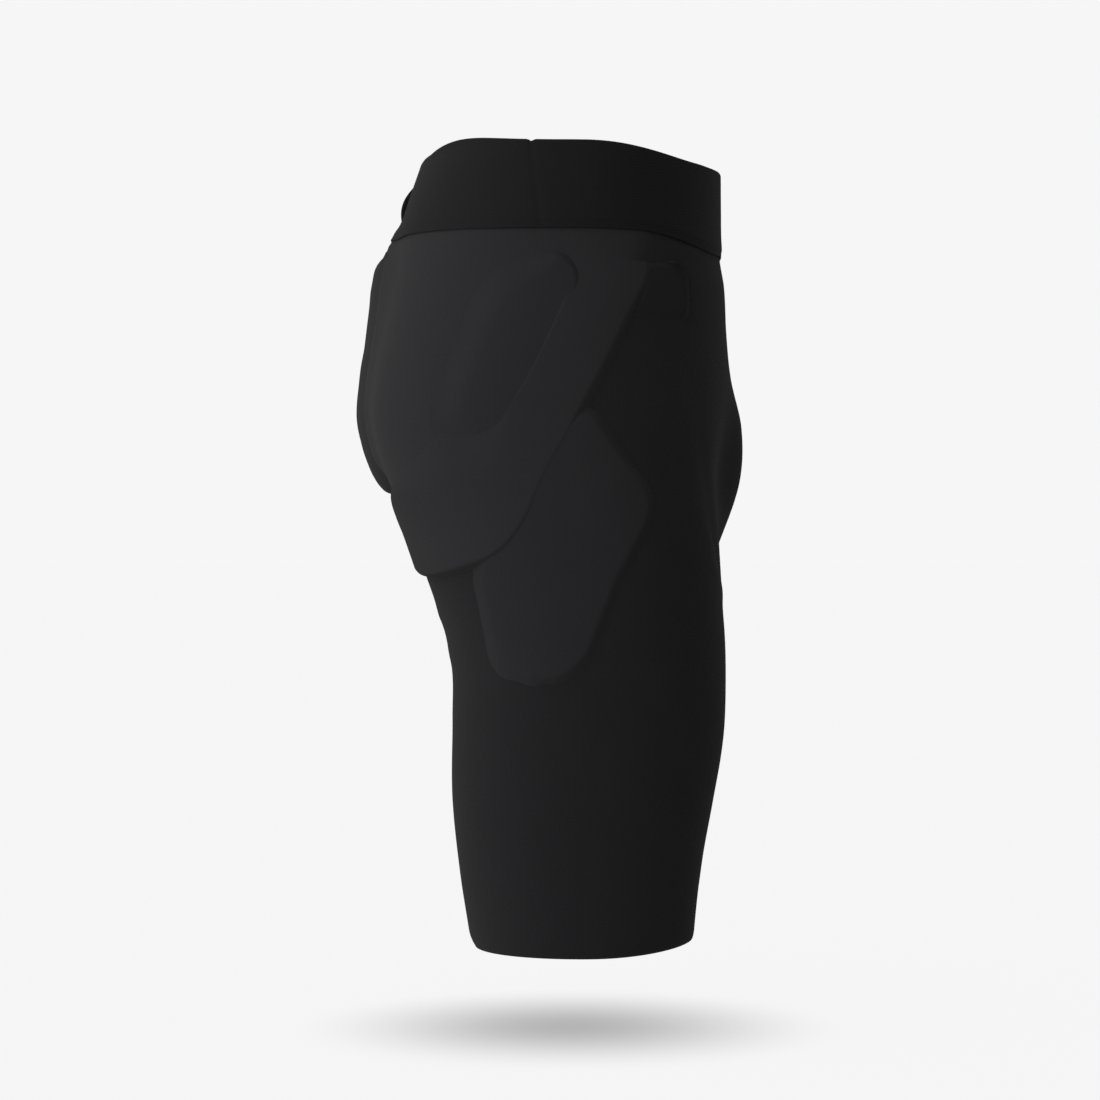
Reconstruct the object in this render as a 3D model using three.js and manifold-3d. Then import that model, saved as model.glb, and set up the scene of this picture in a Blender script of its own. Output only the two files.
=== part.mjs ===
import * as THREE from "three";
import { mergeVertices } from "three/addons/utils/BufferGeometryUtils.js";
import Module from "manifold-3d";

const wasm = await Module();
wasm.setup();

// Padded sports shorts that keep the form of the body in them, in millimetres.
// -Y is the front, -X the wearer's right and +Z up. The origin is the middle of the waist opening,
// at half the height of the waistband.

// Main form of the cloth
const hipWidth = 354; // across both hips, over the cloth
const bellyDepth = 113.5; // from the hip axis forward to the belly
const seatDepth = 112; // from the hip axis back to the seat
const riseHeight = 289; // from the top edge of the waistband down to the crotch
const legLength = 204; // from the crotch down to the hem
const legSpread = 86; // from the mid-plane to the middle of a leg
const pouchDepth = 29; // how far the front pouch stands out
const pouchWidth = 84; // across the pouch, where it has sunk to about a third
const pouchBlend = 30; // depth over which the pouch fades in from the side of the body
const hemFrontRise = 5; // the hem is this much higher at the front
const clothWall = 1.6; // stretch cloth

// Waistband
const bandHeight = 54;
const bandWall = 2.2;
const bandOverlap = 14; // how far the cloth runs up inside the band
const bandRearRise = 13; // the top edge is this much higher at the back
const bandRearLift = 4; // and the lower edge this much
const bandFrontDip = 6; // the top edge dips between hip and belly
const bandRearDip = 9; // and over the spine

// Loop at the back of the band
const loopHeight = 34;
const loopWidth = 10;
const loopThickness = 1.5;
const loopBow = 3; // how far it bows away from the band
const loopDrop = 6; // its top lies this far below the top edge of the band at the side

// Pads
const hipPadThickness = 9;
const upperPadThickness = 11.5;
const thighPadThickness = 8.5;
const frontPadThickness = 2.6;
const tailPadThickness = 12;
const tailPadWidth = 96;
const padRound = 9; // width of the rounded border of the thick pads
const frontPadRound = 3;
const borderWall = 0.4; // share of a pad's thickness that stands straight up at its border
const padSink = 4; // pads start this far under the cloth, before the cloth is cut away from them

const gap = 0.3; // clear space between pieces that touch
const endClearance = 6; // a hollow is cut this far past both of its ends

// Fineness of the facets
const tubeSides = 32;
const tubeLevels = 20;
const bandLevels = 3;
const padRows = 14;
const padColumns = 8;
const loopSteps = 12;
const rearFade = 1.2; // girth over which the rise at the back fades on the inner side of a tube
const rearDipStart = 1.35; // girth at which the dip over the spine starts
const rearDipSpan = 0.55; // girth over which it deepens
const mergeWithin = 1e-4; // points this close become one

// Cross-sections of the right half, which is one tube from waist to hem. At the waist it reaches past the
// mid-plane and joins the left half; below the crotch the two are apart. Shares of the sizes above:
// drop is 0 at the top edge, 1 at the crotch and 2 at the hem; side of half the hip width; front, middle of
// the belly depth; back of the seat depth; frontAt, backAt and inner of the leg spread; pouch of its depth;
// frontCorner and backCorner are the exponents of the inner corners.
const sectionColumns = [
  "drop", "side", "front", "back", "frontAt", "backAt", "middle", "inner", "pouch", "frontCorner", "backCorner",
];
const sections = [
  [0.000, 0.814, 0.952, 0.701, -0.09, -0.16, 0.07, 0.70, 0.00, 2.6, 2.6],
  [0.093, 0.831, 0.954, 0.786, -0.09, -0.21, 0.07, 0.70, 0.00, 2.6, 2.6],
  [0.187, 0.853, 0.963, 0.875, -0.09, -0.30, 0.07, 0.70, 0.00, 2.6, 2.6],
  [0.273, 0.887, 0.996, 0.902, -0.09, -0.44, 0.07, 0.70, 0.00, 2.6, 2.6],
  [0.370, 0.921, 1.000, 0.938, -0.17, -0.58, 0.07, 0.70, 0.03, 2.6, 2.6],
  [0.474, 0.955, 0.991, 0.987, -0.37, -0.70, 0.07, 0.70, 0.21, 2.6, 2.6],
  [0.578, 0.980, 0.952, 1.000, -0.67, -0.77, 0.09, 0.67, 0.72, 2.7, 2.6],
  [0.682, 0.994, 0.912, 0.929, -0.91, -0.81, 0.12, 0.53, 1.00, 2.8, 2.5],
  [0.813, 1.000, 0.921, 0.777, -0.98, -0.88, 0.17, 0.31, 0.69, 2.7, 2.4],
  [0.907, 0.994, 0.937, 0.696, -0.99, -0.93, 0.19, 0.15, 0.28, 2.4, 2.3],
  [1.000, 0.983, 0.953, 0.612, -1.00, -0.97, 0.21, 0.00, 0.00, 2.2, 2.2],
  [1.137, 0.966, 0.965, 0.549, -1.00, -0.99, 0.22, -0.08, 0.00, 2.2, 2.2],
  [1.309, 0.949, 0.959, 0.543, -1.00, -1.00, 0.21, -0.13, 0.00, 2.2, 2.2],
  [1.559, 0.915, 0.893, 0.545, -1.00, -1.00, 0.19, -0.17, 0.00, 2.2, 2.2],
  [1.775, 0.890, 0.826, 0.498, -1.00, -1.00, 0.17, -0.22, 0.00, 2.2, 2.2],
  [2.000, 0.870, 0.784, 0.438, -1.00, -1.00, 0.17, -0.25, 0.00, 2.2, 2.2],
];
const sideCorner = 2.2; // exponent of the two outer corners

// Pads on the right half, each as rungs from its top to its low end. A rung runs from the pad's front
// border to its rear border, and each end is given by girth and drop. girth is 0 at the front of the body,
// 1 at the side and 2 at the back; drop as above. Columns: frontGirth, frontDrop, rearGirth, rearDrop.
const hipPadRungs = [
  [0.72, 0.245, 1.13, 0.258],
  [0.68, 0.275, 1.15, 0.33],
  [0.775, 0.388, 1.15, 0.44],
  [0.865, 0.498, 1.165, 0.535],
  [0.96, 0.598, 1.21, 0.582],
  [1.07, 0.72, 1.3, 0.61],
  [1.18, 0.82, 1.42, 0.642],
  [1.32, 0.882, 1.56, 0.67],
  [1.55, 0.898, 1.75, 0.698],
  [1.82, 0.897, 1.93, 0.735],
  [1.98, 0.86, 2.02, 0.785],
];
const upperPadRungs = [
  [1.05, 0.238, 1.13, 0.241],
  [1.0, 0.252, 1.18, 0.263],
  [0.985, 0.29, 1.22, 0.3],
  [1.04, 0.39, 1.28, 0.39],
  [1.095, 0.471, 1.335, 0.471],
  [1.16, 0.54, 1.385, 0.54],
  [1.23, 0.582, 1.415, 0.59],
  [1.32, 0.607, 1.39, 0.611],
];
const thighPadRungs = [
  [0.905, 0.557, 0.97, 0.56],
  [0.85, 0.61, 1.02, 0.62],
  [0.79, 0.655, 1.07, 0.665],
  [0.72, 0.7, 1.12, 0.715],
  [0.69, 0.745, 1.18, 0.765],
  [0.72, 0.8, 1.27, 0.82],
  [0.805, 0.86, 1.38, 0.87],
  [0.89, 0.935, 1.425, 0.935],
  [0.965, 1.005, 1.43, 1.005],
  [1.01, 1.09, 1.435, 1.09],
  [1.06, 1.15, 1.41, 1.15],
  [1.14, 1.193, 1.34, 1.19],
  [1.2, 1.207, 1.27, 1.206],
];
const frontPadRungs = [
  [0.56, 0.245, 0.68, 0.245],
  [0.505, 0.258, 0.73, 0.258],
  [0.495, 0.311, 0.74, 0.311],
  [0.5, 0.37, 0.79, 0.37],
  [0.55, 0.392, 0.78, 0.397],
];

// The tailbone pad lies across the mid-plane: drop of a rung, and its half width as a share of the pad's.
const tailPadRungs = [
  [0.192, 0.62],
  [0.205, 0.88],
  [0.27, 0.98],
  [0.42, 1.0],
  [0.55, 0.96],
  [0.645, 0.84],
  [0.71, 0.6],
  [0.735, 0.3],
];

const topLevel = bandHeight / 2;
const crotchLevel = topLevel - riseHeight;
const hemLevel = crotchLevel - legLength;

function smoothStep(value) {
  const share = Math.min(Math.max(value, 0), 1);
  return share * share * (3 - 2 * share);
}

function levelOfDrop(drop) {
  return topLevel - Math.min(drop, 1) * riseHeight - Math.max(drop - 1, 0) * legLength;
}

function dropOfLevel(level) {
  if (level >= crotchLevel) {
    return (topLevel - level) / riseHeight;
  }
  return 1 + (crotchLevel - level) / legLength;
}

// Slope of one column at one row, the mean of its two neighbours weighted by the nearer one.
function slopeAt(row, column) {
  const before = Math.max(row - 1, 0);
  const after = Math.min(row + 1, sections.length - 1);
  const stepBefore = sections[row][0] - sections[before][0];
  const stepAfter = sections[after][0] - sections[row][0];
  const slopeBefore = stepBefore > 0 ? (sections[row][column] - sections[before][column]) / stepBefore : 0;
  const slopeAfter = stepAfter > 0 ? (sections[after][column] - sections[row][column]) / stepAfter : 0;
  return (slopeBefore * stepAfter + slopeAfter * stepBefore) / (stepBefore + stepAfter);
}

// The section at any drop, by a smooth cubic through the rows.
function sectionAt(drop) {
  const last = sections.length - 1;
  const inside = Math.min(Math.max(drop, sections[0][0]), sections[last][0]);
  let row = 0;
  while (row < last - 1 && sections[row + 1][0] < inside) {
    row += 1;
  }
  const step = sections[row + 1][0] - sections[row][0];
  const share = (inside - sections[row][0]) / step;
  const section = {};
  sectionColumns.forEach((name, column) => {
    const start = sections[row][column];
    const end = sections[row + 1][column];
    section[name] =
      (2 * share ** 3 - 3 * share ** 2 + 1) * start +
      (share ** 3 - 2 * share ** 2 + share) * step * slopeAt(row, column) +
      (-2 * share ** 3 + 3 * share ** 2) * end +
      (share ** 3 - share ** 2) * step * slopeAt(row + 1, column);
  });
  return {
    side: (-section.side * hipWidth) / 2,
    front: -section.front * bellyDepth,
    back: section.back * seatDepth,
    frontAt: section.frontAt * legSpread,
    backAt: section.backAt * legSpread,
    middle: -section.middle * bellyDepth,
    inner: section.inner * legSpread,
    pouch: section.pouch * pouchDepth,
    frontCorner: section.frontCorner,
    backCorner: section.backCorner,
  };
}

// A point of the cloth's outer face on the right half, without lift. Each quarter of the girth is a
// quarter of a superellipse: front to side, side to back, back to inner side, inner side to front.
function facePoint(level, girth) {
  const section = sectionAt(dropOfLevel(level));
  const turn = ((girth % 4) + 4) % 4;
  const quarter = Math.floor(turn);
  const angle = ((turn - quarter) * Math.PI) / 2;
  const corner = [sideCorner, sideCorner, section.backCorner, section.frontCorner][quarter];
  const across = Math.cos(angle) ** (2 / corner);
  const along = Math.sin(angle) ** (2 / corner);
  const point = new THREE.Vector3(0, 0, level);
  if (quarter === 0) {
    point.x = section.frontAt + (section.side - section.frontAt) * along;
    point.y = section.middle + (section.front - section.middle) * across;
  } else if (quarter === 1) {
    point.x = section.backAt + (section.side - section.backAt) * across;
    point.y = section.middle + (section.back - section.middle) * along;
  } else if (quarter === 2) {
    point.x = section.backAt + (section.inner - section.backAt) * along;
    point.y = section.middle + (section.back - section.middle) * across;
  } else {
    point.x = section.frontAt + (section.inner - section.frontAt) * across;
    point.y = section.middle + (section.front - section.middle) * along;
  }
  const forward = smoothStep((section.middle - point.y) / pouchBlend);
  point.y -= section.pouch * forward * Math.exp(-((point.x / (pouchWidth / 2)) ** 2));
  return point;
}

// A point lifted off the cloth's outer face along its normal; a negative lift lies inside.
const girthProbe = 0.02;
const levelProbe = 1;

function liftedPoint(level, girth, lift) {
  const point = facePoint(level, girth);
  if (lift === 0) {
    return point;
  }
  const round = facePoint(level, girth + girthProbe).sub(facePoint(level, girth - girthProbe));
  const up = facePoint(level + levelProbe, girth).sub(facePoint(level - levelProbe, girth));
  return point.addScaledVector(up.cross(round).normalize(), lift);
}

// The girth at which the right half passes a given x at its back.
function backGirth(level, x) {
  const section = sectionAt(dropOfLevel(level));
  if (x > section.backAt) {
    const share = Math.min((x - section.backAt) / (section.inner - section.backAt), 1);
    return 2 + Math.asin(share ** (section.backCorner / 2)) / (Math.PI / 2);
  }
  const share = Math.min((x - section.backAt) / (section.side - section.backAt), 1);
  return 1 + Math.acos(share ** (sideCorner / 2)) / (Math.PI / 2);
}

// A point over the back of the seat at a signed x, the same on both halves. Between the two buttocks it
// runs straight across instead of dipping between them.
function backPoint(level, x, lift) {
  const section = sectionAt(dropOfLevel(level));
  const reach = Math.max(Math.abs(x), -section.backAt);
  const point = liftedPoint(level, backGirth(level, -reach), lift);
  if (reach > Math.abs(x)) {
    point.x = x;
  } else if (x > 0) {
    point.x *= -1;
  }
  return point;
}

// A closed skin over a row of rings with equally many points; the first and last are closed to their middle.
function closedSkin(rings, mirrored = false) {
  const sides = rings[0].length;
  const points = rings.flat();
  const first = new THREE.Vector3();
  const last = new THREE.Vector3();
  rings[0].forEach((point) => first.addScaledVector(point, 1 / sides));
  rings[rings.length - 1].forEach((point) => last.addScaledVector(point, 1 / sides));
  points.push(first, last);
  const firstIndex = points.length - 2;
  const lastIndex = points.length - 1;
  const lastRing = (rings.length - 1) * sides;
  const index = [];
  for (let side = 0; side < sides; side += 1) {
    const next = (side + 1) % sides;
    index.push(firstIndex, next, side);
    index.push(lastIndex, lastRing + side, lastRing + next);
    for (let ring = 0; ring < rings.length - 1; ring += 1) {
      const here = ring * sides;
      const below = here + sides;
      index.push(here + side, here + next, below + side);
      index.push(here + next, below + next, below + side);
    }
  }
  if (mirrored) {
    points.forEach((point) => (point.x *= -1));
    index.reverse();
  }
  const geometry = new THREE.BufferGeometry().setFromPoints(points);
  geometry.setIndex(index);
  return geometry;
}

function toSolid(geometry) {
  const bare = geometry.clone();
  bare.deleteAttribute("normal");
  bare.deleteAttribute("uv");
  const merged = mergeVertices(bare, mergeWithin);
  return new wasm.Manifold(
    new wasm.Mesh({
      numProp: 3,
      vertProperties: new Float32Array(merged.attributes.position.array),
      triVerts: new Uint32Array(merged.index.array),
    }),
  );
}

function toGeometry(solid) {
  const mesh = solid.getMesh();
  const geometry = new THREE.BufferGeometry();
  geometry.setAttribute("position", new THREE.BufferAttribute(mesh.vertProperties, 3));
  geometry.setIndex(new THREE.BufferAttribute(mesh.triVerts, 1));
  geometry.computeVertexNormals();
  return geometry;
}

// Shares from 0 at the top of a tube to 1 at its bottom, in even steps.
function evenShares(steps) {
  return Array.from({ length: steps + 1 }, (_, step) => step / steps);
}

// Both tubes joined, grown by a lift. levelAt gives the height of a point of a ring from the ring's share
// and the point's girth.
function bothTubes(levelAt, shares, lift) {
  const makeRings = () =>
    shares.map((share) =>
      Array.from({ length: tubeSides }, (_, side) => {
        const girth = (side * 4) / tubeSides;
        return liftedPoint(levelAt(share, girth), girth, lift);
      }),
    );
  return toSolid(closedSkin(makeRings())).add(toSolid(closedSkin(makeRings(), true)));
}

// The same tubes run on past both of their ends, to cut a hollow through.
function throughTubes(levelAt, steps, lift, past) {
  const throughLevel = (share, girth) => {
    if (share < 0) {
      return levelAt(0, girth) + past;
    }
    return share > 1 ? levelAt(1, girth) - past : levelAt(share, girth);
  };
  return bothTubes(throughLevel, [-1, ...evenShares(steps), 2], lift);
}

// 1 at the back of the body, 0 from the side forward
function rearShare(girth) {
  return girth < 2 ? smoothStep(girth - 1) : smoothStep((4 - girth) / rearFade);
}

// 1 at the front of the body, 0 from the side back
function frontShare(girth) {
  return girth < 2 ? smoothStep(1 - girth) : smoothStep(girth - 3);
}

function bandTop(girth) {
  const frontDip = girth < 1 ? bandFrontDip * Math.sin(Math.PI * girth) ** 2 : 0;
  const rearDip = bandRearDip * smoothStep((girth - rearDipStart) / rearDipSpan) * rearShare(girth);
  return topLevel + bandRearRise * rearShare(girth) - frontDip - rearDip;
}

function bandBottom(girth) {
  return topLevel - bandHeight + bandRearLift * rearShare(girth);
}

function hemBottom(girth) {
  return hemLevel + hemFrontRise * frontShare(girth);
}

const clothTop = topLevel - bandHeight + bandOverlap;

function clothLevel(share, girth) {
  return clothTop + (hemBottom(girth) - clothTop) * share;
}

// The full form of the cloth without its hollow, grown by a lift, to cut neighbours clear of it.
function clothForm(lift) {
  return bothTubes(clothLevel, evenShares(tubeLevels), lift);
}

function makeCloth() {
  return clothForm(0).subtract(throughTubes(clothLevel, tubeLevels, -clothWall, endClearance));
}

function bandLevel(share, girth) {
  return bandTop(girth) + (bandBottom(girth) - bandTop(girth)) * share;
}

function bandForm(lift) {
  return bothTubes(bandLevel, evenShares(bandLevels), lift);
}

function makeBand() {
  const bore = throughTubes(bandLevel, bandLevels, gap, bandRearRise + endClearance);
  return bandForm(gap + bandWall).subtract(bore).subtract(clothForm(gap));
}

// A strip bowed away from the back of the band, with its two ends lying on it.
function makeBackLoop() {
  const top = topLevel - loopDrop;
  const nearFace = [];
  const farFace = [];
  for (let step = 0; step <= loopSteps; step += 1) {
    const share = step / loopSteps;
    const level = top - loopHeight * share;
    const seat = backPoint(level, loopWidth / 2, bandWall + 2 * gap).y;
    const bow = loopBow * Math.sin(Math.PI * share) ** 2;
    nearFace.push(new THREE.Vector2(seat + bow, level));
    farFace.push(new THREE.Vector2(seat + bow + loopThickness, level));
  }
  const outline = new THREE.Shape([...nearFace, ...farFace.reverse()]);
  const geometry = new THREE.ExtrudeGeometry(outline, { depth: loopWidth, steps: 1, bevelEnabled: false });
  // the outline's two axes become Y and Z, and its depth becomes X
  geometry.applyMatrix4(
    new THREE.Matrix4().makeBasis(
      new THREE.Vector3(0, 1, 0),
      new THREE.Vector3(0, 0, 1),
      new THREE.Vector3(1, 0, 0),
    ),
  );
  geometry.translate(-loopWidth / 2, 0, 0);
  return toSolid(geometry).subtract(bandForm(bandWall + 2 * gap));
}

// Both ends of a rung between the table's rows, by a curve through them. share is 0 at the first row and 1
// at the last.
function rungAt(rungs, share) {
  const frontCurve = new THREE.SplineCurve(rungs.map((rung) => new THREE.Vector2(rung[0], rung[1])));
  const rearCurve = new THREE.SplineCurve(rungs.map((rung) => new THREE.Vector2(rung[2], rung[3])));
  return [frontCurve.getPoint(share), rearCurve.getPoint(share)];
}

// Height of a pad's face as a share of its thickness, at a distance in from its border.
function borderHeight(distance, round) {
  const inside = Math.min(Math.max(distance / round, 0), 1);
  return borderWall + (1 - borderWall) * Math.sqrt(1 - (1 - inside) ** 2);
}

// A pad over a sheet. place(u, v, lift) gives a point over the sheet. Each ring follows one rung over the
// pad's face and back under the cloth. grow moves its border and its face out, to cut a neighbour clear.
function padSkin(place, rungs, thickness, round, grow, mirrored = false) {
  const rows = Array.from({ length: padRows + 1 }, (_, row) => rungAt(rungs, row / padRows));
  const ends = rows.map(([front, rear]) => [place(front.x, front.y, 0), place(rear.x, rear.y, 0)]);
  const middles = ends.map(([front, rear]) => front.clone().lerp(rear, 0.5));
  const travelled = [0];
  for (let row = 1; row <= padRows; row += 1) {
    travelled.push(travelled[row - 1] + middles[row].distanceTo(middles[row - 1]));
  }
  const rings = rows.map(([front, rear], row) => {
    const width = ends[row][0].distanceTo(ends[row][1]);
    const endward = Math.min(travelled[row], travelled[padRows] - travelled[row]);
    const face = [];
    const underside = [];
    for (let column = 0; column <= padColumns; column += 1) {
      // columns crowd towards both borders, where the face is round
      const share = (1 - Math.cos((Math.PI * column) / padColumns)) / 2;
      const spread = (share - 0.5) * (1 + (2 * grow) / width) + 0.5;
      const u = front.x + (rear.x - front.x) * spread;
      let v = front.y + (rear.y - front.y) * spread;
      if (row === 0) {
        v -= grow / riseHeight;
      } else if (row === padRows) {
        v += grow / riseHeight;
      }
      const sideward = Math.min(share, 1 - share) * width;
      const height = borderHeight(sideward, round) * borderHeight(endward, round);
      face.push(place(u, v, thickness * height + grow));
      underside.push(place(u, v, -padSink));
    }
    return [...face, ...underside.reverse()];
  });
  return toSolid(closedSkin(rings, mirrored));
}

const sidePads = {
  upper_hip_pad: { rungs: upperPadRungs, thickness: upperPadThickness, round: padRound },
  hip_pad: { rungs: hipPadRungs, thickness: hipPadThickness, round: padRound },
  thigh_pad: { rungs: thighPadRungs, thickness: thighPadThickness, round: padRound },
  front_hip_pad: { rungs: frontPadRungs, thickness: frontPadThickness, round: frontPadRound },
};

function sidePad(name, grow, mirrored) {
  const { rungs, thickness, round } = sidePads[name];
  const place = (girth, drop, lift) => liftedPoint(levelOfDrop(drop), girth, lift);
  return padSkin(place, rungs, thickness, round, grow, mirrored);
}

function tailPad(grow) {
  const place = (share, drop, lift) => backPoint(levelOfDrop(drop), (share * tailPadWidth) / 2, lift);
  const rungs = tailPadRungs.map(([drop, share]) => [-share, drop, share, drop]);
  return padSkin(place, rungs, tailPadThickness, padRound, grow);
}

const fabrics = {
  cloth: new THREE.MeshStandardMaterial({ color: 0x232325, roughness: 0.85, metalness: 0 }),
  pad: new THREE.MeshStandardMaterial({ color: 0x2b2b2d, roughness: 0.9, metalness: 0 }),
  band: new THREE.MeshStandardMaterial({ color: 0x1c1c1e, roughness: 0.8, metalness: 0 }),
  webbing: new THREE.MeshStandardMaterial({ color: 0x2a2a2c, roughness: 0.8, metalness: 0 }),
};

const shorts = new THREE.Group();

function addPiece(name, solid, material) {
  const mesh = new THREE.Mesh(toGeometry(solid), material);
  mesh.name = name;
  shorts.add(mesh);
}

addPiece("shorts_body", makeCloth(), fabrics.cloth);
addPiece("waistband", makeBand(), fabrics.band);
addPiece("back_loop", makeBackLoop(), fabrics.webbing);

// Each pad is cut clear of the cloth and of the pads that lie over it.
const clothGrown = clothForm(gap);
const padLayers = Object.keys(sidePads);
for (const [suffix, mirrored] of [["right", false], ["left", true]]) {
  padLayers.forEach((name, layer) => {
    let solid = sidePad(name, 0, mirrored).subtract(clothGrown);
    padLayers.slice(0, layer).forEach((upper) => {
      solid = solid.subtract(sidePad(upper, gap, mirrored));
    });
    addPiece(`${name}_${suffix}`, solid, fabrics.pad);
  });
}
addPiece("tailbone_pad", tailPad(0).subtract(clothGrown), fabrics.pad);

export default shorts;
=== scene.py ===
import bmesh
import bpy
import numpy as np
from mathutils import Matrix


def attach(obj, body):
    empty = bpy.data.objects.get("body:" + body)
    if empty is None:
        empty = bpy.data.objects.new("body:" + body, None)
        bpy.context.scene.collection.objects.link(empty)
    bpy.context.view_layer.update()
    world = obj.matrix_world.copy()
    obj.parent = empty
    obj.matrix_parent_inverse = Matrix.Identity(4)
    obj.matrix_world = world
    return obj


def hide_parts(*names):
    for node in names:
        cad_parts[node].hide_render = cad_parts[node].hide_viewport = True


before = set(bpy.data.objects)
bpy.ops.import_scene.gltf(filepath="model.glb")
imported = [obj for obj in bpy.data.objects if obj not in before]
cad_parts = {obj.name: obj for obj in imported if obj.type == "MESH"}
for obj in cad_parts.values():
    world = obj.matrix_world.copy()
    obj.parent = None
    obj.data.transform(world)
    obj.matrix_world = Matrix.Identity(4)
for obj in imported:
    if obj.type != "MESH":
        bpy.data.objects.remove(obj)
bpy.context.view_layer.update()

# Padded sports shorts, kept in the form of the body that wears them.
# Metres; -Y is the front, -X the wearer's right, the origin is the middle of the waist opening.

scene = bpy.context.scene
mm = 0.001

# the photograph's view: level, square to the wearer's right side
cameraView = {
    "distance": 1.8,  # from the mid-plane
    "height": -0.2203,  # half way up the shorts
    "frameWidth": 0.7205,  # what the picture spans at the mid-plane
    "sensor": 36.0,
}


def placeCamera(view):  # focal length = sensor * distance / width of the view
    data = bpy.data.cameras.new("camera")
    data.sensor_width = view["sensor"]
    data.lens = view["sensor"] * view["distance"] / view["frameWidth"]
    camera = bpy.data.objects.new("camera", data)
    scene.collection.objects.link(camera)
    camera.location = (-view["distance"], 0, view["height"])
    camera.rotation_euler = (np.pi / 2, 0, -np.pi / 2)
    scene.camera = camera


placeCamera(cameraView)
print("camera placed")


# Main form. The right half is one tube from waist to hem; its sections are shares of these sizes.
form = {
    "hipWidth": 0.354,
    "bellyDepth": 0.1135,
    "seatDepth": 0.112,
    "rise": 0.289,  # top edge of the band to the crotch
    "leg": 0.204,  # crotch to hem
    "legSpread": 0.086,
    "pouchDepth": 0.029,
    "pouchWidth": 0.084,
    "pouchBlend": 0.03,
    "bandHeight": 0.054,
    "sideCorner": 2.2,
}
topLevel = form["bandHeight"] / 2
crotchLevel = topLevel - form["rise"]
hemLevel = crotchLevel - form["leg"]

# drop is 0 at the top edge, 1 at the crotch, 2 at the hem
sectionNames = ("drop", "side", "front", "back", "frontAt", "backAt", "middle", "inner", "pouch",
                "frontCorner", "backCorner")
sectionTable = np.array([
    [0.000, 0.814, 0.952, 0.701, -0.09, -0.16, 0.07, 0.70, 0.00, 2.6, 2.6],
    [0.093, 0.831, 0.954, 0.786, -0.09, -0.21, 0.07, 0.70, 0.00, 2.6, 2.6],
    [0.187, 0.853, 0.963, 0.875, -0.09, -0.30, 0.07, 0.70, 0.00, 2.6, 2.6],
    [0.273, 0.887, 0.996, 0.902, -0.09, -0.44, 0.07, 0.70, 0.00, 2.6, 2.6],
    [0.370, 0.921, 1.000, 0.938, -0.17, -0.58, 0.07, 0.70, 0.03, 2.6, 2.6],
    [0.474, 0.955, 0.991, 0.987, -0.37, -0.70, 0.07, 0.70, 0.21, 2.6, 2.6],
    [0.578, 0.980, 0.952, 1.000, -0.67, -0.77, 0.09, 0.67, 0.72, 2.7, 2.6],
    [0.682, 0.994, 0.912, 0.929, -0.91, -0.81, 0.12, 0.53, 1.00, 2.8, 2.5],
    [0.813, 1.000, 0.921, 0.777, -0.98, -0.88, 0.17, 0.31, 0.69, 2.7, 2.4],
    [0.907, 0.994, 0.937, 0.696, -0.99, -0.93, 0.19, 0.15, 0.28, 2.4, 2.3],
    [1.000, 0.983, 0.953, 0.612, -1.00, -0.97, 0.21, 0.00, 0.00, 2.2, 2.2],
    [1.137, 0.966, 0.965, 0.549, -1.00, -0.99, 0.22, -0.08, 0.00, 2.2, 2.2],
    [1.309, 0.949, 0.959, 0.543, -1.00, -1.00, 0.21, -0.13, 0.00, 2.2, 2.2],
    [1.559, 0.915, 0.893, 0.545, -1.00, -1.00, 0.19, -0.17, 0.00, 2.2, 2.2],
    [1.775, 0.890, 0.826, 0.498, -1.00, -1.00, 0.17, -0.22, 0.00, 2.2, 2.2],
    [2.000, 0.870, 0.784, 0.438, -1.00, -1.00, 0.17, -0.25, 0.00, 2.2, 2.2],
])


def smoothStep(value):  # 3v^2 - 2v^3 between 0 and 1
    share = np.clip(value, 0, 1)
    return share * share * (3 - 2 * share)


def dropOf(level):  # (top - level) / rise down to the crotch, then 1 + (crotch - level) / leg
    above = (topLevel - level) / form["rise"]
    return np.where(level >= crotchLevel, above, 1 + (crotchLevel - level) / form["leg"])


def levelOf(drop):  # dropOf the other way round
    return topLevel - np.minimum(drop, 1) * form["rise"] - np.maximum(drop - 1, 0) * form["leg"]


def tableSlopes(table):  # at each row the two neighbouring slopes, weighted by the nearer one
    steps = np.diff(table[:, 0])[:, None]
    slopes = np.diff(table, axis=0) / steps
    inner = (slopes[:-1] * steps[1:] + slopes[1:] * steps[:-1]) / (steps[1:] + steps[:-1])
    return np.vstack([slopes[:1], inner, slopes[-1:]])


sectionSlopes = tableSlopes(sectionTable)


def sectionAt(drop):  # Hermite cubic between the two rows round each drop
    drops = sectionTable[:, 0]
    inside = np.clip(drop, drops[0], drops[-1])
    row = np.clip(np.searchsorted(drops, inside) - 1, 0, len(drops) - 2)
    step = (drops[row + 1] - drops[row])[..., None]
    share = (inside[..., None] - drops[row][..., None]) / step
    values = ((2 * share**3 - 3 * share**2 + 1) * sectionTable[row]
              + (share**3 - 2 * share**2 + share) * step * sectionSlopes[row]
              + (3 * share**2 - 2 * share**3) * sectionTable[row + 1]
              + (share**3 - share**2) * step * sectionSlopes[row + 1])
    section = dict(zip(sectionNames, np.moveaxis(values, -1, 0)))
    section["side"] = -section["side"] * form["hipWidth"] / 2
    section["front"] = -section["front"] * form["bellyDepth"]
    section["middle"] = -section["middle"] * form["bellyDepth"]
    section["back"] = section["back"] * form["seatDepth"]
    for name in ("frontAt", "backAt", "inner"):
        section[name] = section[name] * form["legSpread"]
    section["pouch"] = section["pouch"] * form["pouchDepth"]
    return section


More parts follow.
